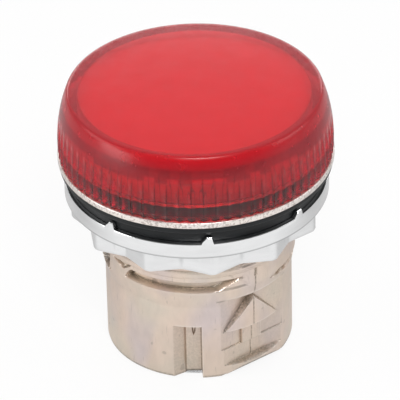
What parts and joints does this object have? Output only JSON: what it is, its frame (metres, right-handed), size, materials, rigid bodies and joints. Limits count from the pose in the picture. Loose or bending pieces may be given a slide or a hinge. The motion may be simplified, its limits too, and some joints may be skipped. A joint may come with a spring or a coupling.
{
  "type": "panel pilot light head",
  "caption": "Round panel pilot light head with a fluted translucent screw lens, a cast threaded barrel, a panel gasket and a toothed mounting ring.",
  "frame": {"origin": "middle of the panel seat, where the gasket meets the front face of the panel", "axes": "+Z out of the panel along the axis of the head, -Y towards the keyway of the barrel"},
  "size_m": [0.0296, 0.0296, 0.0307],
  "materials": {
    "lens": "translucent red, polished top and fluted skirt",
    "diffuser": "opal, matte",
    "seal": "matte black",
    "casting": "satin warm grey die casting",
    "gasket": "satin black",
    "ring": "bright plated"
  },
  "bodies": {
    "housing": {"housing": "casting", "lens_seal": "seal", "panel_gasket": "gasket"},
    "lens_lift": {"diffuser": "diffuser"},
    "lens": {"lens": "lens"},
    "mounting_ring": {"mounting_ring": "ring"}
  },
  "joints": [
    {"name": "lens_travel", "type": "slide", "parent": "housing", "child": "lens_lift", "axis": [0, 0, 1], "range_m": [0, 0.003]},
    {"name": "lens_turn", "type": "hinge", "parent": "lens_lift", "child": "lens", "pos_m": [0, 0, 0.007], "axis": [0, 0, 1], "range_deg": [0, 720]},
    {"name": "ring_travel", "type": "slide", "parent": "housing", "child": "mounting_ring", "axis": [0, 0, -1], "range_m": [0, 0.006]}
  ],
  "couplings": [
    {"joint": "lens_travel", "follows": "lens_turn", "m_per_rad": 0.00023873}
  ]
}
